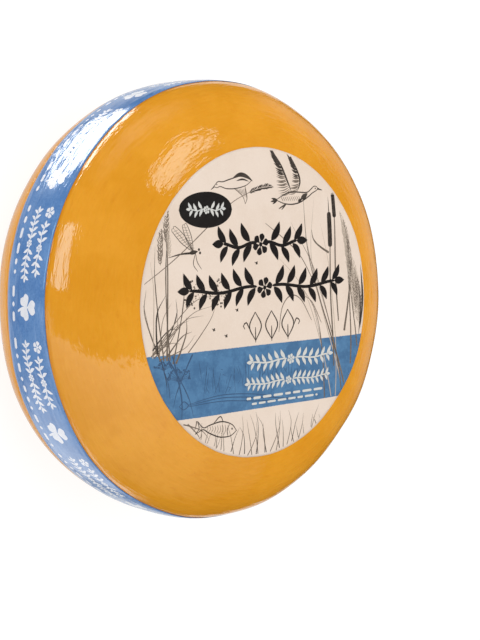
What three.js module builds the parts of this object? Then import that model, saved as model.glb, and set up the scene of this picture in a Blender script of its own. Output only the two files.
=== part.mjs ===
// A round ripened cheese wheel of the Gouda kind, lying on its plain face, with a round paper label
// on its upper face and a printed film band round its rim. Millimetres, +Z up, with the origin on
// the surface that the wheel lies on, at the middle of its lower face.
import * as THREE from "three";

// ---- Driving dimensions -------------------------------------------------------------------------

const wheelDiameter = 250; // over the fullest part of the rim
const wheelHeight = 102; // between the two flat faces
const flatDiameter = 140; // flat middle of each face, where the shoulder begins
const shoulderRise = 2.85; // how square the shoulder is across the height (2 is an ellipse)
const shoulderReach = 2.14; // how square the shoulder is across the radius (2 is an ellipse)

const labelDiameter = 172; // across, seen from above
const labelThickness = 0.3; // paper under its coat of clear plastic

const bandWidth = 33; // measured along the height of the wheel
const bandLift = 2; // from the wheel's middle plane up to the band's middle line
const bandThickness = 0.3; // printed film under its coat of clear plastic

const seatGap = 0.3; // left between a skin and the cheese under it

const turnSteps = 72; // facets round every turned piece
const shoulderSteps = 13; // facets from a flat face to the fullest part of the rim
const labelSteps = 8; // facets from the flat part of the label to its edge
const bandSteps = 8; // facets across the band

// ---- The turned outline of the cheese -----------------------------------------------------------

const wheelRadius = wheelDiameter / 2;
const halfHeight = wheelHeight / 2;
const flatRadius = flatDiameter / 2;
const shoulderWidth = wheelRadius - flatRadius;

// How far the outline stands from the axis, at a height above or below the wheel's middle plane.
function outlineRadius(height) {
  const rise = Math.abs(height) / halfHeight;
  return flatRadius + shoulderWidth * (1 - rise ** shoulderRise) ** (1 / shoulderReach);
}

// The outline's height above the middle plane, on the upper half, at a distance from the axis.
function outlineHeight(radius) {
  const reach = Math.max(0, radius - flatRadius) / shoulderWidth;
  return halfHeight * (1 - reach ** shoulderReach) ** (1 / shoulderRise);
}

// A point of the upper half of the outline, moved out from the cheese by `stand` along its normal.
function stoodOff(radius, height, stand) {
  const reach = Math.max(0, radius - flatRadius) / shoulderWidth;
  const rise = Math.abs(height) / halfHeight;
  const normal = new THREE.Vector2(
    (shoulderReach / shoulderWidth) * reach ** (shoulderReach - 1),
    (Math.sign(height) * shoulderRise * rise ** (shoulderRise - 1)) / halfHeight,
  ).normalize();
  return new THREE.Vector2(radius, height).addScaledVector(normal, stand);
}

// ---- The pieces ---------------------------------------------------------------------------------

// Spins a closed outline, given from the bottom up, and lifts it so that the wheel lies on z = 0.
function turned(name, outline, colour, roughness) {
  const geometry = new THREE.LatheGeometry(outline, turnSteps);
  geometry.rotateX(Math.PI / 2);
  const material = new THREE.MeshStandardMaterial({ color: colour, roughness, metalness: 0 });
  const mesh = new THREE.Mesh(geometry, material);
  mesh.name = name;
  mesh.position.z = halfHeight;
  return mesh;
}

// The cheese in its coat: two flat faces joined by a full, rounded rim.
function cheeseWheel() {
  const upper = [];
  for (let i = 1; i <= shoulderSteps; i++) {
    const turn = (i / shoulderSteps) * (Math.PI / 2);
    const radius = flatRadius + shoulderWidth * Math.cos(turn) ** (2 / shoulderReach);
    upper.push(new THREE.Vector2(radius, halfHeight * Math.sin(turn) ** (2 / shoulderRise)));
  }
  const lower = upper.map((p) => new THREE.Vector2(p.x, -p.y)).reverse();
  const outline = [
    new THREE.Vector2(0, -halfHeight),
    ...lower,
    new THREE.Vector2(wheelRadius, 0),
    ...upper,
    new THREE.Vector2(0, halfHeight),
  ];
  return turned("cheese_wheel", outline, 0xe49a26, 0.35);
}

// The label follows the flat of the face and bends down a little over the start of the shoulder.
function faceLabel() {
  const labelRadius = labelDiameter / 2;
  const firstRing = Math.min(flatRadius, 0.9 * labelRadius); // inside it the label is one flat disc
  const edges = [];
  for (let i = 0; i <= labelSteps; i++) {
    const radius = firstRing + ((labelRadius - firstRing) * i) / labelSteps;
    edges.push([radius, outlineHeight(radius)]);
  }
  const under = edges.map(([radius, height]) => stoodOff(radius, height, seatGap));
  const over = edges.map(([radius, height]) => stoodOff(radius, height, seatGap + labelThickness));
  const outline = [
    new THREE.Vector2(0, halfHeight + seatGap),
    ...under,
    ...over.reverse(),
    new THREE.Vector2(0, halfHeight + seatGap + labelThickness),
  ];
  return turned("face_label", outline, 0xe6dccb, 0.45);
}

// The band is a closed hoop of film that hugs the fullest part of the rim.
function rimBand() {
  const heights = [];
  for (let i = 0; i <= bandSteps; i++) {
    heights.push(bandLift + bandWidth * (i / bandSteps - 0.5));
  }
  const inner = heights.map((height) => stoodOff(outlineRadius(height), height, seatGap));
  const outer = heights.map((height) =>
    stoodOff(outlineRadius(height), height, seatGap + bandThickness),
  );
  const outline = [...outer, ...inner.reverse(), outer[0].clone()];
  return turned("rim_band", outline, 0x4a7db8, 0.25);
}

const wheel = new THREE.Group();
wheel.add(cheeseWheel(), faceLabel(), rimBand());

export default wheel;
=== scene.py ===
# A cheese wheel in its brushed-on coat, lying on its plain face, with a round paper label on top
# and a printed film band round the rim. Sizes are in millimetres until a mesh is made.
import math
import bpy
import numpy as np
from mathutils import Matrix, Vector


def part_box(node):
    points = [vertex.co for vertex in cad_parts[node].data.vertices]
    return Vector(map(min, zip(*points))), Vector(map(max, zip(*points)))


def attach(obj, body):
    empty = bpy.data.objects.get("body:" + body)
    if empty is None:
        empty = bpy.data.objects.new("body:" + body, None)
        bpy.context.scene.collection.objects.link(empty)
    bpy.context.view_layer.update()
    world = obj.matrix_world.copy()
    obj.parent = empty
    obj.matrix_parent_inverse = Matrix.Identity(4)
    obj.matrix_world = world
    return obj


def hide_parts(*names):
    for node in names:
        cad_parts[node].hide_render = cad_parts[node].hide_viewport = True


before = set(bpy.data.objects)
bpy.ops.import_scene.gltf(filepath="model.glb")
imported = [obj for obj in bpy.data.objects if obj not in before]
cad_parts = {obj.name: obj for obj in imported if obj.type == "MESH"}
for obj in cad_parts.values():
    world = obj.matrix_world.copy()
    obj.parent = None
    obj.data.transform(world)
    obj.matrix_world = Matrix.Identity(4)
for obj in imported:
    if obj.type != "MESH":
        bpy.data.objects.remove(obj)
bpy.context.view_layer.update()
mm = 0.001  # one millimetre in Blender's metres


def boxInMm(node):
    low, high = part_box(node)
    return np.array(low) / mm, np.array(high) / mm


wheelLow, wheelHigh = boxInMm("cheese_wheel")
labelLow, labelHigh = boxInMm("face_label")
bandLow, bandHigh = boxInMm("rim_band")
wheelRadius = (wheelHigh[0] - wheelLow[0]) / 2
halfHeight = (wheelHigh[2] - wheelLow[2]) / 2
labelRadius = (labelHigh[0] - labelLow[0]) / 2
print("frame loaded: wheel", round(2 * wheelRadius), "by", round(2 * halfHeight), "mm")


# the rind: one outline, and everything else lies on it
rind = {
    "flatRadius": 70.0,      # flat middle of each face
    "rise": 2.85,            # squareness of the shoulder across the height
    "reach": 2.14,           # squareness of the shoulder across the radius
    "outlineSteps": 3000,    # points on a quarter of the outline, measured along but not all meshed
    "roundSteps": 560,       # mesh steps round the wheel
    "acrossStep": 1.6,       # mesh step from the middle to the rim
    "gullyStep": 0.3,        # mesh step at the band's edges
    "waves": 26,             # long swells left by the mould and the shelf
    "swell": 0.085,          # height of one swell
    "swellLength": (38.0, 150.0),
    "rest": 9,               # height over which the dents fade out towards the resting face
    "dents": 70,             # shallow thumb-sized dents
    "dentDepth": (0.06, 0.34),
    "dentRadius": (6.0, 20.0),
    "crease": 0.12,          # depth of the gully where the coat meets the band
    "creaseWidth": 1.1,
    "seed": 11,
}


def rindOutline():
    turn = np.linspace(0, np.pi / 2, rind["outlineSteps"])
    width = wheelRadius - rind["flatRadius"]
    out = rind["flatRadius"] + width * np.cos(turn) ** (2 / rind["reach"])
    up = halfHeight * np.sin(turn) ** (2 / rind["rise"])
    radius = np.concatenate([[0], out[::-1], out[1:], [0]])
    height = np.concatenate([[halfHeight], up[::-1], -up[1:], [-halfHeight]])
    steps = np.hypot(np.diff(radius), np.diff(height))
    return np.concatenate([[0], np.cumsum(steps)]), radius, height


outlineRun, outlineRadius, outlineHeight = rindOutline()
wholeRun = outlineRun[-1]  # from the middle of the upper face to the middle of the lower one


def runAtHeight(height):
    # how far along the outline a height on the rim lies, heights counted from the wheel's middle plane
    return float(np.interp(-height, -outlineHeight[1:-1], outlineRun[1:-1]))


bandRuns = (runAtHeight(bandHigh[2] - halfHeight), runAtHeight(bandLow[2] - halfHeight))


def makeUnevenness():
    pick = np.random.default_rng(rind["seed"])
    low, high = rind["swellLength"]
    directions = pick.normal(size=(rind["waves"], 3))
    directions /= np.linalg.norm(directions, axis=1)[:, None]
    lengths = pick.uniform(low, high, rind["waves"])
    phases = pick.uniform(0, 2 * np.pi, rind["waves"])
    angles = pick.uniform(0, 2 * np.pi, rind["dents"])
    runs = pick.uniform(0.2, 0.78, rind["dents"]) * wholeRun
    spots = np.stack([
        np.interp(runs, outlineRun, outlineRadius) * np.cos(angles),
        np.interp(runs, outlineRun, outlineRadius) * np.sin(angles),
        np.interp(runs, outlineRun, outlineHeight),
    ], 1)
    depths = pick.uniform(*rind["dentDepth"], rind["dents"])
    sizes = pick.uniform(*rind["dentRadius"], rind["dents"])

    def unevenness(points):
        lift = np.zeros(len(points))
        for direction, length, phase in zip(directions, lengths, phases):
            lift += rind["swell"] * np.sin(points @ direction * 2 * np.pi / length + phase)
        for spot, depth, size in zip(spots, depths, sizes):
            away = ((points - spot) ** 2).sum(1) / size**2
            lift -= depth * np.exp(-2 * away)
        rest = np.clip((points[:, 2] + halfHeight) / rind["rest"], 0, 1)  # dead flat where it lies
        return lift * rest * rest * (3 - 2 * rest)

    return unevenness


unevenness = makeUnevenness()


def onRind(angle, run, lift):
    # the point on the rind at an angle and a run along the outline, stood off by lift
    angle, run, lift = np.broadcast_arrays(angle, run, lift)
    shape = angle.shape
    angle, run, lift = angle.ravel(), run.ravel(), lift.ravel()
    radius = np.interp(run, outlineRun, outlineRadius)
    height = np.interp(run, outlineRun, outlineHeight)
    width = wheelRadius - rind["flatRadius"]
    out = np.clip((radius - rind["flatRadius"]) / width, 0, 1)
    up = np.abs(height) / halfHeight
    normalOut = rind["reach"] / width * out ** (rind["reach"] - 1)
    normalUp = np.sign(height) * rind["rise"] / halfHeight * up ** (rind["rise"] - 1)
    size = np.hypot(normalOut, normalUp)
    flat = np.stack([radius * np.cos(angle), radius * np.sin(angle), height], 1)
    normal = np.stack([
        normalOut / size * np.cos(angle), normalOut / size * np.sin(angle), normalUp / size
    ], 1)
    points = flat + normal * (unevenness(flat) + lift)[:, None]
    points[:, 2] += halfHeight
    return points.reshape(*shape, 3)


def newPiece(name, points, faces, material, smooth=True):
    mesh = bpy.data.meshes.new(name)
    mesh.from_pydata((np.asarray(points) * mm).tolist(), [], faces)
    mesh.validate()
    mesh.polygons.foreach_set("use_smooth", [smooth] * len(mesh.polygons))
    piece = bpy.data.objects.new(name, mesh)
    bpy.context.scene.collection.objects.link(piece)
    mesh.materials.append(material)
    return piece


def gridFaces(rows, columns, start=0, wrap=False):
    faces = []
    for i in range(rows - 1):
        for j in range(columns if wrap else columns - 1):
            k = (j + 1) % columns
            a, b = start + i * columns, start + (i + 1) * columns
            faces.append((a + j, b + j, b + k, a + k))
    return faces


def slab(top, bottom, start):
    # closes two grids of points, one over the other, into one solid
    rows, columns = top.shape[:2]
    count = rows * columns
    upper = gridFaces(rows, columns, start)
    lower = [face[::-1] for face in gridFaces(rows, columns, start + count)]
    ring = list(range(columns))
    ring += [i * columns + columns - 1 for i in range(1, rows)]
    ring += [(rows - 1) * columns + j for j in range(columns - 2, -1, -1)]
    ring += [i * columns for i in range(rows - 2, 0, -1)]
    walls = []
    for here, there in zip(ring, ring[1:] + ring[:1]):
        walls.append((start + here, start + there, start + count + there, start + count + here))
    points = np.concatenate([top.reshape(-1, 3), bottom.reshape(-1, 3)])
    return points, upper + lower + walls


class Wire:
    # one socket of a material's tree; sums on it become Math nodes
    def __init__(self, tree, socket):
        self.tree = tree
        self.socket = socket

    def add(self, nodeType, settings, sockets, out=0):
        node = self.tree.nodes.new(nodeType)
        for key, value in settings.items():
            setattr(node, key, value)
        for key, value in sockets.items():
            if isinstance(value, Wire):
                self.tree.links.new(value.socket, node.inputs[key])
            else:
                node.inputs[key].default_value = value
        return Wire(self.tree, node.outputs[out])

    def maths(self, operation, *others):
        return self.add("ShaderNodeMath", {"operation": operation}, dict(enumerate((self, *others))))

    def __add__(self, other):
        return self.maths("ADD", other)

    def __radd__(self, other):
        return self.maths("ADD", other)

    def __sub__(self, other):
        return self.maths("SUBTRACT", other)

    def __rsub__(self, other):
        return self.add("ShaderNodeMath", {"operation": "SUBTRACT"}, {0: other, 1: self})

    def __mul__(self, other):
        return self.maths("MULTIPLY", other)

    def __rmul__(self, other):
        return self.maths("MULTIPLY", other)

    def __truediv__(self, other):
        return self.maths("DIVIDE", other)

    def scaled(self, size):
        return self.add("ShaderNodeVectorMath", {"operation": "SCALE"}, {0: self, "Scale": size})

    def parts(self):
        first = self.add("ShaderNodeSeparateXYZ", {}, {0: self})
        return [Wire(self.tree, socket) for socket in first.socket.node.outputs]

    def joined(self, x, y, z):
        return self.add("ShaderNodeCombineXYZ", {}, {0: x, 1: y, 2: z})

    def ease(self, low, high):
        # 0 below low, 1 above high, and smooth between
        settings = {"interpolation_type": "SMOOTHSTEP", "clamp": True}
        return self.add("ShaderNodeMapRange", settings, {0: self, 1: low, 2: high})

    def blend(self, first, second):
        # first where this value is 0, second where it is 1
        return self.add("ShaderNodeMix", {"data_type": "RGBA"}, {0: self, 6: first, 7: second}, 2)

    def noise(self, scale, detail, roughness, fourth=None):
        sockets = {"Vector": self, "Scale": scale, "Detail": detail, "Roughness": roughness}
        if fourth is not None:
            sockets["W"] = fourth
        settings = {"noise_dimensions": "3D" if fourth is None else "4D"}
        return self.add("ShaderNodeTexNoise", settings, sockets)

    def bump(self, height, distance):
        # this wire is the normal underneath
        sockets = {"Height": height, "Distance": distance, "Strength": 1.0, "Normal": self}
        return self.add("ShaderNodeBump", {}, sockets)


def rgb(red, green, blue):
    # a colour given as 0 to 255 in the usual display space
    levels = [level / 255 for level in (red, green, blue)]
    linear = [v / 12.92 if v <= 0.04045 else ((v + 0.055) / 1.055) ** 2.4 for v in levels]
    return (*linear, 1.0)


def newFinish(name, constants):
    # a material, its shader, and the place on the piece in millimetres
    material = bpy.data.materials.new(name)
    material.use_nodes = True
    tree = material.node_tree
    shader = tree.nodes["Principled BSDF"]
    for socket, value in constants.items():
        shader.inputs[socket].default_value = value
    seat = tree.nodes.new("ShaderNodeTexCoord")
    place = Wire(tree, seat.outputs["Object"]).scaled(1 / mm)
    surface = tree.nodes.new("ShaderNodeNewGeometry")
    return material, shader, place, Wire(tree, surface.outputs["Normal"])


def feed(shader, socket, wire):
    wire.tree.links.new(wire.socket, shader.inputs[socket])


def roundTheWheel(place, along, across):
    # coordinates that stretch a pattern along the turn of the wheel, with no seam anywhere
    x, y, z = place.parts()
    radius = (x * x + y * y).maths("SQRT").maths("MAXIMUM", 0.01)
    reach = wheelRadius * along
    turn = place.joined(x / radius * reach, y / radius * reach, z * across)
    return turn, radius * across, radius


# the brushed-on coat over the rind
coat = {
    "colour": rgb(216, 145, 36),
    "light": rgb(226, 156, 48),
    "deep": rgb(198, 120, 16),
    "roughness": 0.03,
    "brushDepth": 0.42 * mm,    # height of the brush ridges
    "fineDepth": 0.14 * mm,
    "grainDepth": 0.01 * mm,
    "pitDepth": 0.04 * mm,
    "gullyShadeWidth": (0.2, 2.2),   # where the painted shade along the band's edges starts to fade and is gone
}


def coatFinish():
    material, shader, place, normal = newFinish("cheese coat", {
        "IOR": 1.48, "Subsurface Weight": 0.08, "Subsurface Scale": 0.004,
        "Subsurface Radius": (1.0, 0.5, 0.12),
    })
    turn, outward, radius = roundTheWheel(place, 0.07, 0.3)
    brush = turn.noise(1.0, 3.0, 0.5, outward)
    fineTurn, fineOutward, _ = roundTheWheel(place, 0.12, 0.95)
    fineBrush = fineTurn.noise(1.0, 2.0, 0.5, fineOutward)
    cloud = place.noise(0.022, 3.0, 0.6)
    blot = place.noise(0.11, 4.0, 0.65)
    grain = place.noise(1.3, 2.0, 0.5)
    pore = place.add("ShaderNodeTexVoronoi", {}, {"Vector": place, "Scale": 0.19})
    pit = 1 - pore.ease(0.03, 0.1)

    height = place.parts()[2]
    # painted shade: the coat's colour is darkened in the gully along each edge of the band
    nearBand = [1 - (height - edge).maths("ABSOLUTE").ease(*coat["gullyShadeWidth"])
                for edge in (bandHigh[2], bandLow[2])]
    gully = (nearBand[0] + nearBand[1]).maths("MINIMUM", 1.0)
    gully = gully * radius.ease(wheelRadius - 6, wheelRadius - 4)

    tone = cloud * 0.55 + blot * 0.3 + fineBrush * 0.15
    colour = tone.ease(0.36, 0.66).blend(coat["colour"], coat["light"])
    # darker blots and brush marks in the coat itself, plus painted shade in the gully and in the pits
    stainAndShade = (blot * 0.6 + brush * 0.4).ease(0.52, 0.7) * 0.35 + gully * 0.55 + pit * 0.3
    colour = stainAndShade.maths("MINIMUM", 0.9).blend(colour, coat["deep"])
    feed(shader, "Base Color", colour)
    feed(shader, "Roughness", coat["roughness"] + brush * 0.03 + blot.ease(0.58, 0.78) * 0.08)

    bumped = normal.bump(brush, coat["brushDepth"])
    bumped = bumped.bump(fineBrush, coat["fineDepth"])
    bumped = bumped.bump(grain, coat["grainDepth"])
    bumped = bumped.bump(pit * -1.0, coat["pitDepth"])
    feed(shader, "Normal", bumped)
    return material


def cheeseWheel():
    ring = np.arange(rind["roundSteps"]) / rind["roundSteps"] * 2 * np.pi
    plain = np.arange(2.0, wholeRun - 1.0, rind["acrossStep"])
    gullies = [edge + np.arange(-2.4, 2.5, rind["gullyStep"]) for edge in bandRuns]
    runs = np.unique(np.round(np.concatenate([plain, *gullies]), 2))
    runs = runs[np.concatenate([[True], np.diff(runs) > 0.12])]
    lift = np.zeros(len(runs))
    for edge, side in zip(bandRuns, (-1, 1)):
        lift -= rind["crease"] * np.exp(-(((runs - edge - side * 0.7) / rind["creaseWidth"]) ** 2))
    points = onRind(ring[None, :], runs[:, None], lift[:, None])
    poles = [onRind(np.zeros(1), np.array([end]), np.zeros(1))[0] for end in (0, wholeRun)]
    rows, columns = points.shape[:2]
    everyPoint = np.concatenate([points.reshape(-1, 3), np.array(poles)])
    faces = gridFaces(rows, columns, wrap=True)
    top, bottom = rows * columns, rows * columns + 1
    last = (rows - 1) * columns
    for j in range(columns):
        k = (j + 1) % columns
        faces.append((top, j, k))
        faces.append((bottom, last + k, last + j))
    wheel = newPiece("cheese", everyPoint, faces, coatFinish())
    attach(wheel, "root")
    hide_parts("cheese_wheel")
    print("cheese made:", len(faces), "faces")


cheeseWheel()


# the paper label
label = {
    "turn": math.radians(2.5),  # how far it was stuck on askew
    "seat": 0.04,               # under the paper
    "paper": 0.14,              # its thickness
    "inset": 0.3,               # how far its edge stays inside the CAD label's
    "edgeWander": 0.14,         # how rough the cut edge is
    "roundSteps": 420,
    "rings": 52,
    "margin": 1.0,              # unprinted edge
    # slack folds the paper dried with: heading, how far out, width, where along it starts, height
    "folds": (((0.8, 0.6), 31, 1.6, 0.55, 0.22), ((0.35, -0.94), 40, 2.0, 0.6, 0.2)),
    "stripe": (-58.5, -23.0),   # lower and upper edge of the blue stripe
    "cream": rgb(225, 208, 193),
    "creamWarm": rgb(219, 200, 183),
    "blue": rgb(77, 122, 162),
    "blueDeep": rgb(62, 104, 144),
    "bluePale": rgb(110, 152, 188),
    "roughness": 0.42,
    "fibreDepth": 0.03 * mm,
    "cockleDepth": 0.6 * mm,    # how far the whole sheet cockles
}


def turned(x, y):
    # from the label's own drawing to the wheel
    c, s = math.cos(label["turn"]), math.sin(label["turn"])
    return x * c - y * s, x * s + y * c


def labelFinish():
    material, shader, place, normal = newFinish("label paper", {"IOR": 1.42})
    x, y, _ = place.parts()
    c, s = math.cos(label["turn"]), math.sin(label["turn"])
    across = y * c - x * s
    fibre = place.noise(1.1, 4.0, 0.65)
    cloud = place.noise(0.035, 3.0, 0.6)
    wash = place.noise(0.11, 5.0, 0.7)
    scribble = place.noise(0.33, 5.0, 0.75)
    paper = (cloud * 0.6 + fibre * 0.4).ease(0.35, 0.68).blend(label["cream"], label["creamWarm"])
    low, high = label["stripe"]
    edge = (fibre - 0.5) * 0.7
    stripe = (across + edge).ease(low, low + 0.25) * (1 - (across + edge).ease(high - 0.25, high))
    blue = wash.ease(0.36, 0.62).blend(label["blueDeep"], label["blue"])
    lightPatch = scribble.ease(0.55, 0.72) * wash.ease(0.42, 0.6) * 0.5
    blue = lightPatch.blend(blue, label["bluePale"])
    feed(shader, "Base Color", stripe.blend(paper, blue))
    feed(shader, "Roughness", label["roughness"] + fibre * 0.16)
    feed(shader, "Normal", normal.bump(fibre, label["fibreDepth"]).bump(cloud, label["cockleDepth"]))
    return material


def labelLift(x, y):
    away = np.hypot(x, y) / labelRadius
    lift = 0
    for heading, middle, width, start, height in label["folds"]:
        ridge = np.exp(-(((x * heading[0] + y * heading[1] - middle) / width) ** 2))
        lift = lift + ridge * np.clip(away - start, 0, 1) * height
    return lift


def onLabel(x, y, lift):
    angle = np.arctan2(y, x)
    away = np.hypot(x, y)
    return onRind(angle, away, label["seat"] + labelLift(x, y) + lift)


def faceLabel():
    pick = np.random.default_rng(5)
    columns = label["roundSteps"]
    ring = np.arange(columns) / columns * 2 * np.pi
    wander = np.zeros(columns)
    for count in range(5, 60, 3):  # waves round the edge, the quicker the lower
        wander += np.sin(count * ring + pick.uniform(0, 6.28)) * label["edgeWander"] / count**0.7
    reach = np.linspace(0.03, 1.0, label["rings"])[:, None]
    away = reach * (labelRadius - label["inset"] + wander * reach**8)
    x, y = away * np.cos(ring), away * np.sin(ring)
    top = onLabel(x, y, label["paper"])
    under = onLabel(x, y, 0.0)
    rows = len(reach)
    count = rows * columns
    middle = [onLabel(np.zeros(1), np.zeros(1), lift)[0] for lift in (label["paper"], 0.0)]
    everyPoint = np.concatenate([top.reshape(-1, 3), under.reshape(-1, 3), np.array(middle)])
    faces = gridFaces(rows, columns, wrap=True)
    faces += [face[::-1] for face in gridFaces(rows, columns, count, wrap=True)]
    rim = (rows - 1) * columns
    for j in range(columns):
        k = (j + 1) % columns
        faces.append((rim + j, count + rim + j, count + rim + k, rim + k))
        faces.append((2 * count, j, k))
        faces.append((2 * count + 1, count + k, count + j))
    paper = newPiece("label_paper", everyPoint, faces, labelFinish())
    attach(paper, "root")
    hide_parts("face_label")
    print("label made")


faceLabel()


# the film band round the rim
band = {
    "seat": 0.04,
    "film": 0.12,
    "seamAt": math.radians(24),    # where the two ends lap
    "lap": math.radians(8.5),      # how far they lap
    "ramp": math.radians(2.2),     # how far the upper end takes to climb
    "inset": 0.25,                 # how far its edges stay inside the CAD band's
    "edgeWander": 0.16,
    "roundSteps": 820,
    "rows": 23,
    "roughness": 0.03,
    "blue": rgb(84, 124, 178),
    "bluePale": rgb(104, 142, 192),
    "blueDeep": rgb(66, 104, 160),
    "creaseDepth": 0.6 * mm,    # height of the streaks and creases in the film
    "fineDepth": 0.07 * mm,
}
bandMiddleRun = sum(bandRuns) / 2
bandHalf = (bandRuns[1] - bandRuns[0]) / 2


def bandLift(angle):
    # the upper end climbs over the lower one; angles run on past a full turn
    over = angle - band["seamAt"] - 2 * math.pi + band["ramp"]
    climb = np.clip(over / band["ramp"], 0, 1)
    return band["seat"] + climb * climb * (3 - 2 * climb) * (band["film"] + 0.06)


def bandFinish():
    material, shader, place, normal = newFinish("band film", {"IOR": 1.55})
    turn, outward, _ = roundTheWheel(place, 0.045, 0.24)
    streak = turn.noise(1.0, 3.0, 0.55, outward)
    fineTurn, fineOutward, _ = roundTheWheel(place, 0.09, 0.8)
    fineStreak = fineTurn.noise(1.0, 2.0, 0.5, fineOutward)
    cloud = place.noise(0.06, 3.0, 0.6)
    grain = place.noise(0.9, 3.0, 0.6)
    colour = (cloud * 0.6 + grain * 0.4).ease(0.38, 0.62).blend(band["blue"], band["bluePale"])
    colour = (streak.ease(0.58, 0.75) * 0.45).blend(colour, band["blueDeep"])
    feed(shader, "Base Color", colour)
    feed(shader, "Roughness", band["roughness"] + grain * 0.05)
    bumped = normal.bump(streak, band["creaseDepth"])
    feed(shader, "Normal", bumped.bump(fineStreak, band["fineDepth"]))
    return material


def rimBand():
    pick = np.random.default_rng(9)
    angle = np.linspace(0, 2 * math.pi + band["lap"], band["roundSteps"]) + band["seamAt"]
    across = np.linspace(1, -1, band["rows"])  # from the lower edge up, so that the faces look out
    wander = np.zeros((2, len(angle)))
    for count in range(7, 90, 6):
        for side in range(2):
            wander[side] += np.sin(count * angle + pick.uniform(0, 6.28)) / count**0.8
    wander *= band["edgeWander"]
    middle = (wander[0] + wander[1]) / 2
    half = bandHalf - band["inset"] + (wander[1] - wander[0]) / 2
    run = bandMiddleRun + middle[:, None] + across[None, :] * half[:, None]
    lift = bandLift(angle)[:, None] + 0 * across[None, :]
    top = onRind(angle[:, None], run, lift + band["film"])
    under = onRind(angle[:, None], run, lift)
    points, faces = slab(top, under, 0)
    film = newPiece("band_film", points, faces, bandFinish())
    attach(film, "root")
    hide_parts("rim_band")
    print("band made")


rimBand()


# printing: pen strokes and leaf shapes laid on as thin closed ribbons of ink


def throughPoints(points, gap):
    # a smooth line through given points, with a station every gap
    points = np.array(points, float)
    if len(points) == 2:
        count = max(2, int(np.linalg.norm(points[1] - points[0]) / gap) + 1)
        return points[0] + np.linspace(0, 1, count)[:, None] * (points[1] - points[0])
    ends = np.concatenate([[2 * points[0] - points[1]], points, [2 * points[-1] - points[-2]]])
    line = [points[0]]
    for before, here, there, after in zip(ends, ends[1:], ends[2:], ends[3:]):
        count = max(2, int(np.linalg.norm(there - here) / gap) + 1)
        for t in np.linspace(0, 1, count)[1:]:
            bend = (2 * before - 5 * here + 4 * there - after) * t * t
            twist = (3 * here - before - 3 * there + after) * t**3
            line.append(0.5 * (2 * here + (there - before) * t + bend + twist))
    return np.array(line)


def penWidth(shape, t):
    if shape == "taper":
        return np.maximum(1 - t, 0) ** 0.6
    if shape == "leaf":
        return np.sin(np.pi * t**0.85) ** 0.9
    if shape == "petal":
        return np.sin(np.pi * t**1.7) ** 0.7
    if shape == "disc":
        return np.sqrt(np.maximum(1 - (2 * t - 1) ** 2, 0))
    if shape == "bar":
        return np.minimum(1, np.sqrt(np.maximum(1 - np.abs(2 * t - 1) ** 14, 0)))
    return 0.55 + 0.45 * np.sin(np.pi * t)  # a plain pen line, a little fuller in the middle


pen = {
    "thinnest": 0.05,
    "columnWidth": 2.4,   # a wide stroke is laid in columns about this wide
    "layers": 23,         # crossing strokes lie at different heights, so that none fights another
    "layerStep": 0.0011,
    "sunk": 0.02,         # how far the ink's underside lies below its lowest top
}


class Print:
    # collects strokes in one ink; where() carries a drawing's x and y to the piece it is printed on
    def __init__(self, where, lift, edge=None):
        self.where = where
        self.lift = lift
        self.edge = edge
        self.points = []
        self.faces = []
        self.count = 0
        self.strokes = 0

    def stroke(self, points, width, shape="pen", gap=1.1):
        line = throughPoints(points, gap)
        if len(line) < 3:
            line = throughPoints([line[0], line[-1]], np.linalg.norm(line[-1] - line[0]) / 4 + 1e-6)
        steps = np.hypot(*np.diff(line, axis=0).T)
        t = np.concatenate([[0], np.cumsum(steps)])
        t /= max(t[-1], 1e-6)
        half = np.maximum(width * penWidth(shape, t), pen["thinnest"]) / 2
        if self.edge is not None:
            inside = np.hypot(*line.T) + half < self.edge
            if not inside.all():
                first = np.argmax(inside)
                stop = first + np.argmin(np.append(inside[first:], False))
                if not inside.any() or stop - first < 3:
                    return
                line, half = line[first:stop], half[first:stop]
        ahead = np.gradient(line, axis=0)
        ahead /= np.maximum(np.hypot(*ahead.T), 1e-9)[:, None]
        side = np.stack([-ahead[:, 1], ahead[:, 0]], 1)
        across = np.linspace(-1, 1, int(width / pen["columnWidth"]) + 2)
        spread = line[:, None, :] + side[:, None, :] * half[:, None, None] * across[None, :, None]
        x, y = spread[..., 0], spread[..., 1]
        top = self.where(x, y, self.lift + self.strokes % pen["layers"] * pen["layerStep"])
        under = self.where(x, y, self.lift - pen["sunk"])
        points, faces = slab(top, under, self.count)
        self.points.append(points)
        self.faces += faces
        self.count += len(points)
        self.strokes += 1

    def disc(self, x, y, radius):
        self.stroke([(x - radius, y), (x + radius, y)], 2 * radius, "disc", radius / 7)

    def piece(self, name, finish, slot):
        ink = newPiece(name, np.concatenate(self.points), self.faces, finish, smooth=False)
        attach(ink, "root")
        print(name, "printed:", self.strokes, "strokes")


def inkFinish(name, colour, worn, roughness):
    material, shader, place, normal = newFinish(name, {"IOR": 1.45})
    fleck = place.noise(1.6, 4.0, 0.7)
    wear = place.noise(0.2, 3.0, 0.6)
    feed(shader, "Base Color", (fleck * 0.65 + wear * 0.35).ease(0.42, 0.72).blend(colour, worn))
    feed(shader, "Roughness", roughness + fleck * 0.1)
    feed(shader, "Normal", normal.bump(fleck, 0.01 * mm))
    return material


def printedOnLabel(x, y, lift):
    # a drawing on the label is in millimetres from its middle, x to its right and y to its top
    return onLabel(*turned(x, y), label["paper"] + lift)


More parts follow.
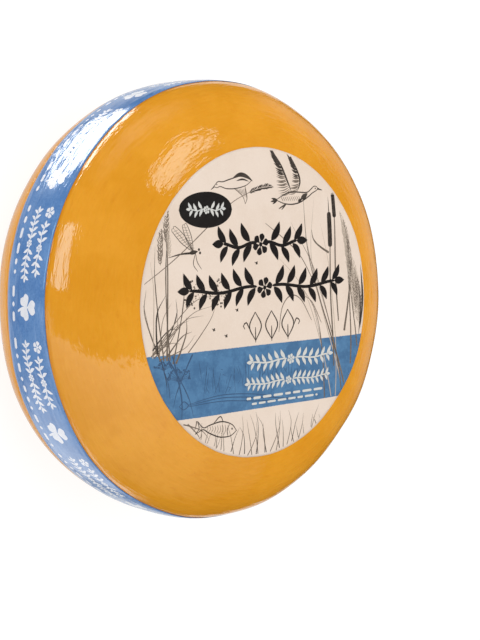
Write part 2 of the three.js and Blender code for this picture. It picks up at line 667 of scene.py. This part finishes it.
# each ink: height over the paper, colour, worn colour, roughness
inks = {
    "pale": (0.012, rgb(172, 156, 140), rgb(196, 181, 164), 0.5),
    "grey": (0.02, rgb(108, 94, 82), rgb(142, 128, 113), 0.5),
    "dark": (0.03, rgb(54, 45, 39), rgb(88, 77, 68), 0.48),
    "black": (0.06, rgb(22, 15, 16), rgb(34, 26, 26), 0.42),
    "navy": (0.012, rgb(48, 76, 110), rgb(62, 96, 132), 0.5),
    "white": (0.09, rgb(206, 204, 198), rgb(186, 190, 190), 0.45),
}
printEdge = labelRadius - label["margin"]
labelPrints = [Print(printedOnLabel, ink[0], printEdge) for ink in inks.values()]
pale, grey, dark, black, navy, white = labelPrints
pick = np.random.default_rng(21)


def jitter(size):
    return pick.uniform(-size, size)


def towards(heading):
    return np.array([math.cos(heading), math.sin(heading)])


def grassBlade(ink, foot, tip, bow, width):
    # a long blade that bows to one side
    foot, tip = np.array(foot, float), np.array(tip, float)
    run = tip - foot
    side = np.array([-run[1], run[0]]) * bow
    ink.stroke([foot, foot + run * 0.35 + side * 0.7, foot + run * 0.7 + side, tip], width, "taper")
    if width > 0.8:
        vein = [foot + side * 0.05, foot + run * 0.4 + side * 0.78, foot + run * 0.8 + side * 0.9]
        dark.stroke(vein, 0.22)


def seedHead(ink, foot, heading, length, fullness, spikes, droop):
    # a grass flower: short spikelets on both sides of the stem's end
    foot = np.array(foot, float)
    way = towards(math.radians(heading))
    side = np.array([-way[1], way[0]])
    fall = side * droop * length
    ink.stroke([foot, foot + way * length * 0.5 + fall * 0.3, foot + way * length + fall], 0.4)
    for i in range(spikes):
        t = (i + 0.5) / spikes
        root = foot + way * length * t + fall * t * t
        size = fullness * math.sin(math.pi * min(1, t * 0.9 + 0.12)) ** 0.6
        for hand in (-1, 1):
            end = root + way * size * pick.uniform(0.7, 1.2) + side * hand * size * pick.uniform(0.3, 0.65)
            middle = (root + end) / 2 + side * hand * size * 0.12
            ink.stroke([root, middle, end], pick.uniform(0.4, 0.75), "leaf", 0.6)


def cattail(foot, tip, headLength, headWidth):
    # a reed-mace head on its stalk with the thin spike above it
    foot, tip = np.array(foot, float), np.array(tip, float)
    way = (tip - foot) / np.linalg.norm(tip - foot)
    side = np.array([-way[1], way[0]])
    top = tip - way * headLength * 0.42
    low = top - way * headLength
    grey.stroke([foot, (foot + low) / 2 + side * 0.8, low], 1.1)
    dark.stroke([foot + side * 0.5, (foot + low) / 2 + side * 1.2, low + side * 0.4], 0.3)
    dark.stroke([top, tip], 0.7, "taper")
    dark.stroke([low, top], headWidth, "bar", 0.7)
    for i in range(22):
        t = pick.uniform(0.02, 0.86)
        off = pick.uniform(0.02, 0.4) * headWidth * (1 if i % 3 else -1)
        start = low + way * headLength * t + side * off
        black.stroke([start, start + way * pick.uniform(1.0, 3.0)], pick.uniform(0.2, 0.45))


def mapped(shape, at, size, lean):
    # a drawing in its own unit, placed, scaled and leaned
    c, s = math.cos(lean), math.sin(lean)
    return [(at[0] + size * (x * c - y * s), at[1] + size * (x * s + y * c)) for x, y in shape]


def penFor(at, size, lean, gap):
    def line(ink, shape, width, kind="pen"):
        ink.stroke(mapped(shape, at, size, lean), width, kind, gap)

    return line


def flyingBird(at, size, lean):
    # a plain water bird in flight, wings raised
    line = penFor(at, size, lean, 0.8)
    back = [(-0.5, -0.02), (-0.3, 0.07), (-0.08, 0.13), (0.15, 0.12), (0.38, 0.11), (0.5, 0.17),
            (0.6, 0.23), (0.68, 0.22), (0.72, 0.17)]
    belly = [(0.72, 0.17), (0.64, 0.13), (0.54, 0.09), (0.42, 0.02), (0.2, -0.08), (-0.02, -0.12),
             (-0.26, -0.1), (-0.5, -0.02)]
    line(dark, back, 0.7)
    line(dark, belly, 0.75)
    line(dark, [(0.7, 0.18), (0.86, 0.14)], 1.1, "taper")
    line(dark, [(0.2, -0.02), (0.32, 0.04), (0.4, 0.09)], 3.0, "leaf")
    line(dark, [(0.12, -0.07), (0.24, -0.02)], 1.8, "leaf")
    dark.disc(*mapped([(0.64, 0.185)], at, size, lean)[0], 0.45)
    for tail in ((-0.64, 0.02), (-0.66, -0.05), (-0.6, -0.1)):
        line(dark, [(-0.46, -0.02), tail], 1.3, "leaf")
    for foot in ((-0.34, -0.22), (-0.42, -0.2)):
        line(dark, [(-0.2, -0.1), foot], 0.8)
    wings = (([(-0.06, 0.13), (-0.22, 0.42), (-0.36, 0.68), (-0.54, 0.93)], 0.31, 26),
             ([(0.1, 0.13), (0.18, 0.32), (0.13, 0.52), (-0.04, 0.84)], 0.25, 22))
    for arm, reach, quills in wings:
        bone = throughPoints(arm, 0.01)
        line(dark, arm, 1.2, "leaf")
        for t in np.linspace(0.02, 0.97, quills):
            root = bone[int(t * (len(bone) - 1))]
            heading = math.radians(196 - 74 * t**1.3 + jitter(5))
            quill = reach * (1.0 - 0.25 * t + 0.12 * math.sin(9 * t))
            tip = root + quill * towards(heading)
            sag = root + 0.5 * quill * towards(heading + 0.16)
            line(dark if t > 0.4 else grey, [root, sag, tip], 0.45 + 1.0 * t, "leaf")
    for t in np.linspace(0, 1, 10):
        line(grey, [(-0.36 + 0.5 * t, 0.04), (-0.3 + 0.5 * t, -0.05)], 0.35)


def glidingBird(at, size, lean):
    # a second bird further off, drawn mostly in outline
    line = penFor(at, size, lean, 0.8)
    line(dark, [(-0.6, 0.03), (-0.46, 0.13), (-0.32, 0.12), (-0.12, 0.16), (0.1, 0.2), (0.3, 0.22),
                (0.58, 0.1)], 0.6)
    line(dark, [(-0.6, 0.03), (-0.5, 0.0), (-0.4, 0.02), (-0.2, -0.04), (0.1, -0.05), (0.4, 0.0),
                (0.58, 0.1)], 0.55)
    line(dark, [(-0.58, 0.03), (-0.7, -0.04)], 0.8, "taper")
    line(dark, [(0.0, 0.19), (0.22, 0.25), (0.42, 0.2), (0.62, 0.08)], 2.4, "leaf")
    line(dark, [(0.1, 0.12), (0.3, 0.14), (0.5, 0.08)], 1.0, "leaf")
    line(grey, [(0.02, -0.05), (0.16, -0.14), (0.3, -0.26), (0.36, -0.42)], 0.5)
    line(grey, [(0.36, 0.0), (0.4, -0.16), (0.42, -0.3), (0.36, -0.42)], 0.6)
    for t in np.linspace(0, 1, 7):
        line(grey, [(0.08 + 0.28 * t, -0.07), (0.14 + 0.26 * t, -0.12 - 0.16 * t)], 0.35)
    dark.disc(*mapped([(-0.5, 0.07)], at, size, lean)[0], 0.35)


def dragonfly(at, size, lean):
    line = penFor(at, size, lean, 0.6)
    line(dark, [(0.12, 0.0), (-0.2, 0.0), (-0.58, -0.05)], 1.2, "taper")
    line(dark, [(0.06, 0.0), (0.34, 0.02)], 2.3, "leaf")
    for eye in ((0.37, 0.06), (0.4, -0.02)):
        dark.disc(*mapped([eye], at, size, lean)[0], 0.75)
    for tip, wide in (((-0.36, 0.6), 0.13), ((-0.04, 0.66), 0.12)):
        root = np.array([0.2, 0.02])
        tip = np.array(tip)
        side = np.array([-(tip - root)[1], (tip - root)[0]]) / np.linalg.norm(tip - root) * wide
        for hand in (-1, 1):
            outline = [root, (root + tip) / 2 + side * hand * 0.7, tip + side * hand * 0.55, tip]
            line(dark, outline, 0.4)
        for t in np.linspace(0.2, 0.95, 9):
            vein = [root + (tip - root) * t + side * 0.6, root + (tip - root) * (t - 0.1) - side * 0.5]
            line(grey, vein, 0.22)
        line(grey, [root, tip], 0.3)
    for knee in ((0.3, -0.22), (0.18, -0.26)):
        line(dark, [(0.26, 0.0), knee, (knee[0] + 0.12, knee[1] - 0.18)], 0.4)


def fish(at, size, lean):
    line = penFor(at, size, lean, 0.6)
    back = [(0.5, 0.0), (0.34, 0.12), (0.05, 0.16), (-0.25, 0.08), (-0.42, 0.02), (-0.6, 0.14)]
    belly = [(0.5, 0.0), (0.34, -0.12), (0.05, -0.15), (-0.25, -0.08), (-0.42, -0.02), (-0.6, -0.12)]
    line(dark, back, 0.7)
    line(dark, belly, 0.7)
    line(dark, [(-0.6, 0.14), (-0.53, 0.0), (-0.6, -0.12)], 0.5)
    line(dark, [(0.28, 0.12), (0.24, 0.0), (0.28, -0.12)], 0.5)
    line(dark, [(0.1, 0.16), (0.0, 0.26), (-0.16, 0.12)], 0.6)
    dark.disc(*mapped([(0.37, 0.03)], at, size, lean)[0], 0.55)
    for i in range(8):
        x = 0.16 - 0.07 * i
        tall = 0.1 * (1 - i / 14)
        line(grey, [(x, tall), (x + 0.035, 0.0), (x, -tall)], 0.35)


def flowerUmbel(ink, foot, crown, spread, rays):
    # a wild carrot head: fine rays that end in dots
    foot, crown = np.array(foot, float), np.array(crown, float)
    ink.stroke([foot, (foot + crown) / 2 + (0.8, 0), crown], 0.55)
    for i in range(rays):
        heading = math.pi * (0.08 + 0.84 * (i + 0.5) / rays)
        tip = crown + spread * pick.uniform(0.75, 1.05) * towards(heading) * (1, 0.75)
        ink.stroke([crown, (crown + tip) / 2 + (0, 0.5), tip], 0.28)
        for _ in range(4):
            ink.disc(tip[0] + jitter(0.9), tip[1] + jitter(0.9), pick.uniform(0.3, 0.55))


def rosette(ink, at, size, petals):
    at = np.array(at)
    for i in range(petals):
        way = towards(2 * math.pi * (i + 0.25) / petals)
        ink.stroke([at + way * size * 0.16, at + way * size], size * 3.9 / petals, "petal", size / 9)
    ink.disc(*at, size * 0.2)


def garland(ink, left, right, middle, tall, weight):
    # a sprig to each side of a flower, its leaves in pairs along the stem
    centre = (left + right) / 2
    reach = (right - left) / 2 - tall * 0.3
    pairs = max(2, round(reach / (tall * 0.42)))
    for hand in (-1, 1):

        def stem(t):
            sway = tall * 0.05 * math.sin(2.5 * math.pi * t)
            return np.array([centre + hand * reach * t, middle + sway])

        ink.stroke([stem(t) for t in np.linspace(0.1, 1, 4 * pairs)], weight * 0.5, "bar", weight * 0.3)
        for i in range(pairs):
            for side, share in ((1, 1.0), (-1, 0.93)):
                t = (i + 0.78 + side * 0.07) / (pairs + 0.15)
                size = tall * 0.57 * share * (1.0 - 0.16 * t)
                way = towards(math.radians(57)) * (hand, side)
                bow = np.array([hand * 0.07, -side * 0.05]) * size
                foot = stem(t) + way * size * 0.08
                leaf = [foot, foot + way * size * 0.5 + bow, foot + way * size * 0.94]
                ink.stroke(leaf, size * 0.37, "leaf", size / 12)
        tip = stem(1.0) + np.array([hand * tall * 0.34, 0.0])
        ink.stroke([stem(0.99), tip], tall * 0.19, "leaf", tall / 24)
    rosette(ink, (centre, middle), tall * 0.26, 6)


def clover(ink, at, size):
    # three heart-shaped leaflets on a stalk
    at = np.array(at)
    for heading in (90, 212, 328):
        for half in (-1, 1):
            tip = at + size * 0.5 * towards(math.radians(heading + half * 20))
            ink.stroke([at, tip], size * 0.32, "petal", size / 26)
    stalk = [at, at + size * np.array([0.04, -0.3]), at + size * np.array([0.16, -0.58])]
    ink.stroke(stalk, size * 0.09, "bar", 0.4)


def barsOfPrint(ink, left, right, middle, tall, longest):
    # small print stood in for by bars as long as words
    x = left
    while x < right - tall:
        length = min(pick.uniform(0.35, 1.0) * longest, right - x)
        ink.stroke([(x, middle), (x + length, middle)], tall, "bar", tall * 0.35)
        x += length + tall * 1.1


def reedsOnTheRight():
    cattail((57.5, -40), (54.2, 58.2), 20.6, 3.5)
    cattail((61.5, -14), (58.4, 67.8), 15.5, 3.3)
    blades = (((70, -58), (33, 62), 0.05, 1.2), ((66, -58), (24, 44), -0.06, 0.9),
              ((60, -58), (47, 44), -0.04, 0.7), ((56, -58), (10, 28), -0.1, 0.7),
              ((64, -50), (42, 58), 0.08, 0.8), ((50, -58), (30, 10), -0.1, 0.9),
              ((66, -20), (70, 30), -0.08, 1.6), ((54, 26), (40, 40), 0.16, 1.4),
              ((72, -40), (66, 44), -0.03, 1.2), ((78, -30), (72, 38), 0.04, 1.0))
    for foot, tip, bow, width in blades:
        grassBlade(pale if width < 0.85 else grey, foot, tip, bow, width)
    plumes = (((76, -12), 94, 42, 5.2, 34), ((79, -16), 92, 40, 5.0, 30), ((72, 6), 93, 38, 4.6, 30),
              ((81, -18), 91, 34, 4.2, 26), ((70, 20), 95, 30, 4.0, 22))
    for foot, heading, length, fullness, spikes in plumes:
        seedHead(pale, foot, heading, length, fullness, spikes, 0.1)
        inner = (foot[0] + 1.2, foot[1] + 4)
        seedHead(grey, inner, heading, length * 0.7, fullness * 0.7, spikes // 2, 0.1)
    dark.stroke([(81, -20), (84, -2), (82.6, 18)], 2.0, "leaf")
    dark.stroke([(79.5, -24), (81.6, -8), (81.2, 6)], 1.2, "leaf")
    grey.stroke([(13, -17), (16, -3), (23, 3), (31, 0), (39, -12)], 0.6)
    grey.stroke([(34, 2), (40, -2), (47, -14)], 0.5)
    grey.stroke([(4, 44), (20, 34), (32, 24), (44, 6)], 0.55)


def grassesOnTheLeft():
    blades = (((-70, -26), (-71, 52), -0.03, 1.2), ((-68, -26), (-66, 46), 0.04, 0.9),
              ((-72, -26), (-76, 34), 0.03, 0.9), ((-66, -28), (-58, 20), -0.06, 0.9),
              ((-74, -26), (-82, 12), 0.1, 1.0), ((-79, -24), (-79, 26), -0.03, 0.7),
              ((-64, -28), (-56, -4), -0.1, 1.3), ((-70, -24), (-52, -12), 0.1, 1.0))
    for foot, tip, bow, width in blades:
        grassBlade(grey if width > 0.8 else pale, foot, tip, bow, width)
    seedHead(grey, (-73, 24), 90, 19, 3.6, 15, -0.08)
    seedHead(grey, (-69.5, 36), 84, 17, 3.0, 13, -0.05)
    seedHead(pale, (-67, 28), 90, 15, 2.6, 14, 0.1)
    tufts = (((-79, -22), (-30, 6), 0.14), ((-78, -24), (-36, 1), 0.1), ((-74, -25), (-50, -14), -0.1),
             ((-80, -23), (-60, -18), 0.12), ((-55, -23), (-34, 6), -0.09), ((-75, -24), (-66, 4), 0.1),
             ((-72, -22), (-62, -2), -0.12), ((-79, -23), (-54, -6), 0.1), ((-77, -22), (-44, -4), 0.12))
    for foot, tip, bow in tufts:
        grassBlade(grey, foot, tip, bow, 0.65)
    grassBlade(dark, (-76, -22), (-70, 8), 0.12, 1.2)
    grassBlade(dark, (-71, -18), (-63, 6), -0.12, 0.9)
    grassBlade(dark, (-79, -20), (-61, -10), 0.16, 0.9)
    grey.stroke([(-83, 14.7), (-60, 29), (-39.8, 43.3), (-22.6, 55.4), (-8, 61.5)], 0.55)
    seedHead(dark, (-9, 61), 20, 19, 3.0, 22, -0.2)


def underTheStripe():
    for i in range(34):
        x = -52 + i * 3.1 + jitter(1.2)
        tip = (x + jitter(8), -66 + jitter(6))
        grassBlade(grey if i % 3 else dark, (x, -84), tip, jitter(0.12), 0.6)
    fish((-34, -66.5), 27, math.radians(-9))
    for start, end in (((-62, -60), (-40, -72)), ((-56, -61), (-46, -74)), ((-50, -60), (-52, -66))):
        grassBlade(grey, start, end, 0.1, 0.8)


def overTheStripe():
    # sketches that run on over the blue
    flowerUmbel(navy, (-60, -58), (-62, -38), 9, 13)
    flowerUmbel(navy, (-68, -46), (-72, -31), 6, 9)
    for foot, tip, bow in (((-70, -24), (-52, -58), 0.05), ((-66, -24), (-60, -56), 0.03),
                           ((-52, -24), (-66, -52), -0.06), ((-74, -25), (-70, -44), 0.05)):
        grassBlade(navy, foot, tip, bow, 0.9)
    navy.stroke([(-62, -51), (-59, -48.6), (-56, -51), (-59, -53), (-62, -51)], 0.6)
    for rise in (0, -1.6, -3.4):
        reed = [(-56, -50.5 + rise / 3), (-30, -48 + rise), (0, -51 + rise), (18 - 6 * rise, -56)]
        navy.stroke(reed, 0.5)
    for i in range(60):
        x = -46 + i * 1.3
        navy.stroke([(x, -40 + jitter(8)), (x + jitter(3), -36 + jitter(8))], 0.3)


def ornaments():
    garland(black, -36, 36, 32.5, 24, 3.6)
    garland(black, -61, 66, 8.5, 23, 3.6)
    black.stroke([(-60, 52.2), (-22, 52.2)], 19.2, "disc", 0.8)
    garland(white, -55, -27, 52.2, 9.0, 1.2)
    for x in (-5, 7.5, 20):  # three open leaves and a curl to each side
        for hand in (-1, 1):
            dark.stroke([(x, -20.5), (x - hand * 4.6, -12.5), (x, -4.6)], 0.85)
        dark.stroke([(x, -21.5), (x, -13)], 0.75)
    dark.stroke([(-9.8, -13.5), (-12, -10), (-14.4, -11.8), (-13.2, -13.6)], 0.8)
    dark.stroke([(24.8, -13.5), (27, -10), (29.4, -11.8), (28.2, -13.6)], 0.8)
    garland(white, -12, 56, -32.8, 11.5, 1.8)
    garland(white, -14, 54, -44.6, 9.5, 1.5)
    barsOfPrint(white, -13, 50, -52.2, 1.4, 9)
    barsOfPrint(white, -9, 44, -55.4, 1.2, 8)


def drawLabel():
    reedsOnTheRight()
    grassesOnTheLeft()
    flyingBird((26, 57.5), 27.6, math.radians(1))
    glidingBird((-21, 64.5), 24, math.radians(3))
    dragonfly((-55, 29.5), 23, math.radians(3))
    for x, y in ((-19.5, -3.5), (-37, -13), (-4, 21.5), (-28, -17)):
        dark.stroke([(x, y), (x + 1.3, y + 1.8)], 1.2, "leaf", 0.4)
        dark.stroke([(x - 0.9, y + 1.5), (x + 1.6, y + 0.2)], 0.5)
    for centre in (-51, -33):  # speckles drifting off the seed heads
        for _ in range(70):
            x, y = centre + jitter(7), 7.5 + jitter(8)
            if math.hypot((x - centre) / 7, (y - 7.5) / 8) < 1:
                (grey if pick.random() < 0.5 else dark).disc(x, y, pick.uniform(0.2, 0.6))
    underTheStripe()
    overTheStripe()
    ornaments()


drawLabel()
for (name, ink), drawn in zip(inks.items(), labelPrints):
    drawn.piece("label_ink_" + name, inkFinish(name + " ink", *ink[1:]), "label_paper")


bandPrint = {
    "repeats": 11,
    "margin": 3.0,              # from the start of a repeat to its ornament
    "lowerGarland": (0, 41),    # where each starts and ends in a repeat
    "upperGarland": (8, 38),
    "garlandHeight": 8.8,
    "cloverAt": (54, 2.4),
    "cloverSize": 14.5,
    "barsAt": -10.2,            # height of the row of bars, from the band's middle line
    "barHeight": 2.1,
    "lift": 0.012,
    "roughness": 0.16,
    "ink": rgb(228, 229, 234),
    "inkWorn": rgb(204, 211, 224),
}


def printedOnBand(x, y, lift):
    # x runs round the rim from the seam, y from the band's middle line towards the label
    angle = band["seamAt"] + x / wheelRadius
    run = bandMiddleRun - y
    return onRind(angle, run, bandLift(angle) + band["film"] + lift)


def drawBand():
    ink = Print(printedOnBand, bandPrint["lift"])
    pitch = 2 * math.pi * wheelRadius / bandPrint["repeats"]
    for i in range(bandPrint["repeats"]):
        start = i * pitch + bandPrint["margin"]
        for key, middle in (("upperGarland", 8.0), ("lowerGarland", -1.2)):
            left, right = bandPrint[key]
            garland(ink, start + left, start + right, middle, bandPrint["garlandHeight"], 1.5)
        rosette(ink, (start + 3.2, 8.8), 3.4, 5)
        x, y = bandPrint["cloverAt"]
        clover(ink, (start + x, y), bandPrint["cloverSize"])
        for left, right in ((-1, pitch * 0.56), (pitch * 0.6, pitch * 0.93)):
            barsOfPrint(ink, start + left, start + right, bandPrint["barsAt"], bandPrint["barHeight"], 6.5)
    finish = inkFinish("band ink", bandPrint["ink"], bandPrint["inkWorn"], bandPrint["roughness"])
    ink.piece("band_print_white", finish, "band_film")


drawBand()


# The floor, the lamps, and cards that only show in the gloss. A card has its middle, the way its width
# runs, its width and height, its brightness and how much of each half is soft edge. Some have the way
# their back faces, which is otherwise away from the wheel, a tint, or a fade: how far down from the top
# edge half the light is gone. Lengths here are in metres.
studio = {
    "world": 0.9,
    "floorSide": 12.0,
    "floor": {"Base Color": (0.2, 0.2, 0.2, 1.0), "Roughness": 0.9, "Specular IOR Level": 0.0,
              "Emission Color": (1.0, 1.0, 1.0, 1.0), "Emission Strength": 0.86},
    "lamps": {
        "key": {"at": (-1.0, 1.5, 2.2), "size": 1.5, "power": 18.5},
        "fill": {"at": (1.9, 0.2, 0.9), "size": 1.2, "power": 10.0},
    },
    "cards": {
        "bandBox": {"at": (-0.235, 1.19, -0.95), "along": (1, 0.12, 0), "size": (0.84, 0.6),
                    "brightness": 11.5, "soft": 0.02},
        "bandGlow": {"at": (-0.28, 1.2, -1.0), "along": (1, 0.15, 0), "size": (1.25, 1.1),
                     "brightness": 1.6, "soft": 0.6},
        "bandVeil": {"at": (-0.27, -1.13, -1.12), "along": (1, -0.1, 0), "size": (2.1, 1.15),
                     "brightness": 1.7, "soft": 0.5},
        "shoulderGlow": {"at": (-0.3, 1.55, 0.15), "along": (1, 0.2, 0), "size": (1.9, 1.2),
                         "brightness": 1.1, "soft": 1.0},
        "upperBox": {"at": (0.315, 0.8, 1.2), "along": (1, -1, 0), "size": (0.46, 0.46),
                     "brightness": 5.2, "soft": 0.03, "tint": (0.72, 1.0, 0.98, 1.0)},
        "sideBox": {"at": (-1.44, 0.45, -0.02), "along": (0, 1, 0), "size": (0.74, 0.62),
                    "brightness": 5.9, "soft": 0.03, "tint": (0.7, 1.0, 1.05, 1.0)},
        "tableCard": {"at": (0.862, -7.0, -0.92), "along": (0.79, 0.04, 0.61), "size": (24.0, 14.0),
                      "brightness": 2.15, "soft": 0.003, "back": (-0.634, -0.381, 0.675),
                      "fade": 0.8, "tint": (1.0, 1.0, 0.88, 1.0)},
        # keeps the sideBox off the wheel's outline when it is seen from the other side
        "blackFlag": {"at": (-0.2562, -0.0219, 0.1), "along": (0.37, 0.93, 0), "size": (0.086, 0.15),
                      "brightness": 0.0, "soft": 0.03, "back": (-0.93, 0.37, 0)},
        "farWall": {"at": (1.6, 0.4, 0.0), "along": (0, 1, 0), "size": (2.6, 1.3),
                    "brightness": 0.5, "soft": 0.5},
        "sweepCard": {"at": (0.45, 0.0, -1.6), "along": (1, 0, 0), "size": (3.2, 3.0),
                      "brightness": 0.8, "soft": 0.1},
    },
}


def sheet(name, width, height, material):
    corners = [(i * width / 2, j * height / 2, 0) for i, j in ((-1, -1), (1, -1), (1, 1), (-1, 1))]
    mesh = bpy.data.meshes.new(name)
    mesh.from_pydata(corners, [], [(0, 1, 2, 3)])
    mesh.materials.append(material)
    flat = bpy.data.objects.new(name, mesh)
    bpy.context.scene.collection.objects.link(flat)
    return flat


def floorSheet():
    finish = newFinish("pale floor", studio["floor"])[0]
    floor = sheet("floor", studio["floorSide"], studio["floorSide"], finish)
    floor.visible_glossy = False


def reflectorCard(name, at, along, size, brightness, soft, back=None, fade=0, tint=(1, 1, 1, 1)):
    material, shader, place, _ = newFinish(name, {
        "Base Color": (0, 0, 0, 1), "Specular IOR Level": 0.0, "Emission Strength": brightness})
    width, height = size
    x, y, _ = place.parts()
    x, y = x * (2 * mm / width), y * (2 * mm / height)  # -1 to 1 from edge to edge
    edges = [1 - side.maths("ABSOLUTE").ease(1 - soft, 1.0) for side in (x, y)]
    glow = edges[0] * edges[1]
    if fade:
        glow = glow / (1 + (1 - y) * (height / 2 / fade))
    feed(shader, "Emission Color", glow.blend((0, 0, 0, 1), tint))
    material.cycles.emission_sampling = "NONE"

    at = Vector(at)
    away = Vector(back or at - Vector((0, 0, halfHeight * mm))).normalized()
    up = away.cross(Vector(along)).normalized()
    across = up.cross(away)
    card = sheet(name, width, height, material)
    card.matrix_world = Matrix.Translation(at) @ Matrix((across, up, away)).transposed().to_4x4()
    card.visible_camera = False
    card.visible_diffuse = False
    card.visible_shadow = False
    card.visible_transmission = False


def lightStudio():
    world = bpy.data.worlds.new("studio")
    bpy.context.scene.world = world
    world.use_nodes = True
    background = world.node_tree.nodes["Background"]
    background.inputs["Color"].default_value = (1, 1, 1, 1)
    background.inputs["Strength"].default_value = studio["world"]
    world.cycles_visibility.glossy = False
    for name, settings in studio["lamps"].items():
        lamp = bpy.data.lights.new(name, "AREA")
        lamp.size = settings["size"]
        lamp.energy = settings["power"]
        stand = bpy.data.objects.new(name, lamp)
        stand.location = settings["at"]
        stand.rotation_euler = (-Vector(settings["at"])).to_track_quat("-Z", "Y").to_euler()
        stand.visible_glossy = False
        bpy.context.scene.collection.objects.link(stand)
    for name, card in studio["cards"].items():
        reflectorCard(name, **card)


floorSheet()
lightStudio()
bpy.context.scene.view_settings.view_transform = "Standard"
print("studio lit")


# the camera looks down on the lying wheel
view = {
    "swing": math.radians(41.894),  # off the wheel's axis, towards -X
    "lift": math.radians(2.469),    # towards the label's top edge
    "distance": 0.8543,             # from the middle of the wheel, in metres
    "aimRight": 0.0231,             # what the camera aims at, off the middle of the wheel
    "aimDown": 0.0117,
    "roll": math.radians(1.073),
    "lens": 83.05,
}


def placeCamera():
    middle = Vector((0, 0, halfHeight * mm))
    way = Vector((-math.sin(view["swing"]) * math.cos(view["lift"]), math.sin(view["lift"]),
                  math.cos(view["swing"]) * math.cos(view["lift"])))
    labelUp = Vector((0, 1, 0))
    right = (-way).cross(labelUp).normalized()
    aim = middle + right * view["aimRight"] + right.cross(way) * view["aimDown"]
    eye = middle + way * view["distance"]
    ahead = (aim - eye).normalized()
    right = ahead.cross(labelUp).normalized()
    up = right.cross(ahead)
    turn = Matrix((right, up, -ahead)).transposed() @ Matrix.Rotation(view["roll"], 3, "Z")
    lens = bpy.data.cameras.new("camera")
    lens.lens = view["lens"]
    lens.sensor_width = 36
    camera = bpy.data.objects.new("camera", lens)
    camera.matrix_world = Matrix.Translation(eye) @ turn.to_4x4()
    bpy.context.scene.collection.objects.link(camera)
    bpy.context.scene.camera = camera


placeCamera()
print("camera placed")
